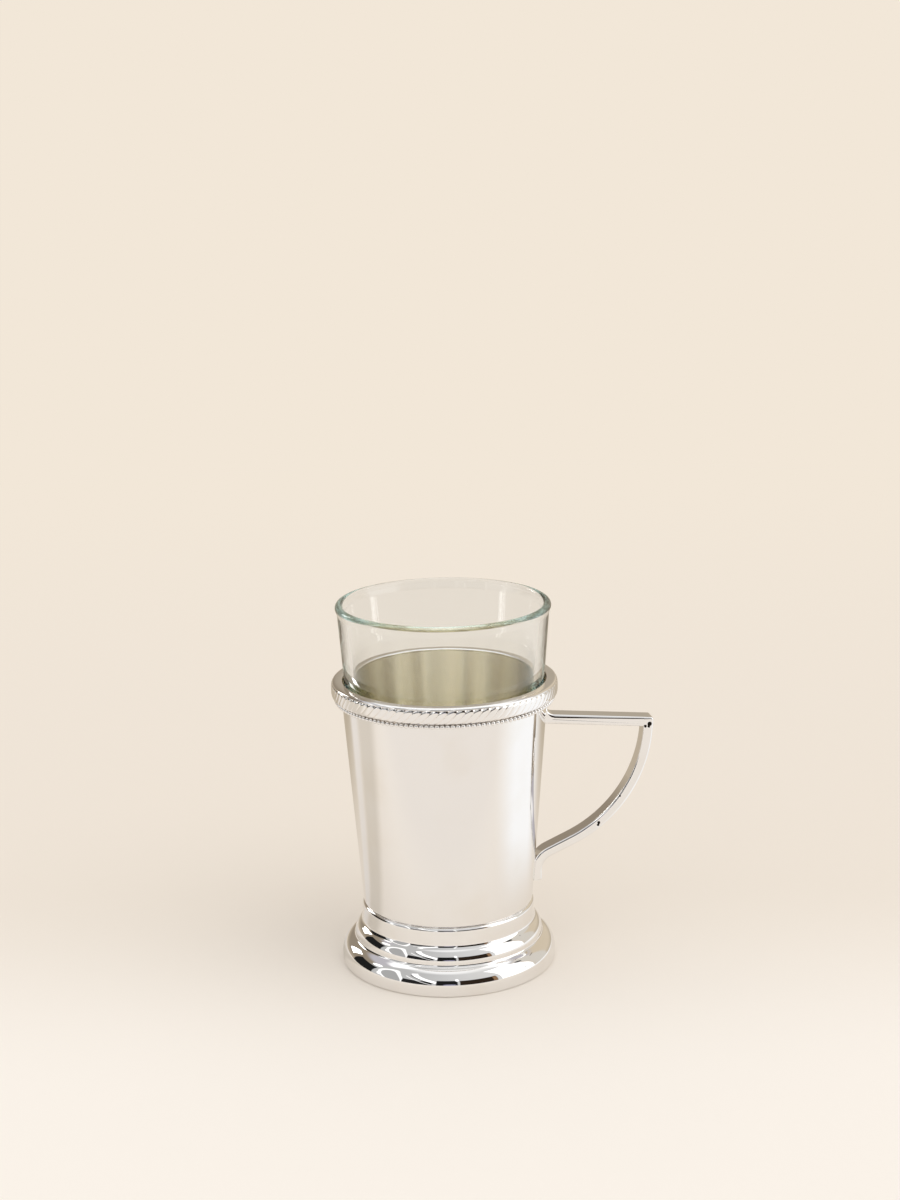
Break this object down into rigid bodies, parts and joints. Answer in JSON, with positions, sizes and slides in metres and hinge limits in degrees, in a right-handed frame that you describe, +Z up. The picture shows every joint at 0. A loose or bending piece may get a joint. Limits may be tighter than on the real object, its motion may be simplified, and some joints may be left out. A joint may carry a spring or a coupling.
{
  "type": "tea glass holder",
  "caption": "Polished metal tea glass holder with a stepped foot, a bar handle, a gadroon and bead collar, and a clear glass tumbler that lifts out.",
  "frame": {"origin": "centre of the foot's underside, on the table", "axes": "+Z up along the cup's axis, +X towards the handle, +Y across"},
  "size_m": [0.099, 0.0688, 0.1136],
  "materials": {
    "polished_silver": "mirror-polished silver plate, satin inside the cup",
    "chased_silver": "bright silver plate, darker in the grooves",
    "base_plate": "satin spun metal",
    "clear_glass": "clear polished glass with a faint green edge"
  },
  "bodies": {
    "holder": {"foot_shell": "polished_silver", "base_disc": "base_plate", "cup_body": "polished_silver", "bead_wire": "chased_silver", "gadroon_band": "chased_silver", "rim_flange": "polished_silver", "handle": "polished_silver"},
    "glass": {"tea_glass": "clear_glass"}
  },
  "joints": [
    {"name": "glass_lift", "type": "slide", "parent": "holder", "child": "glass", "axis": [0, 0, 1], "range_m": [0, 0.08]}
  ]
}
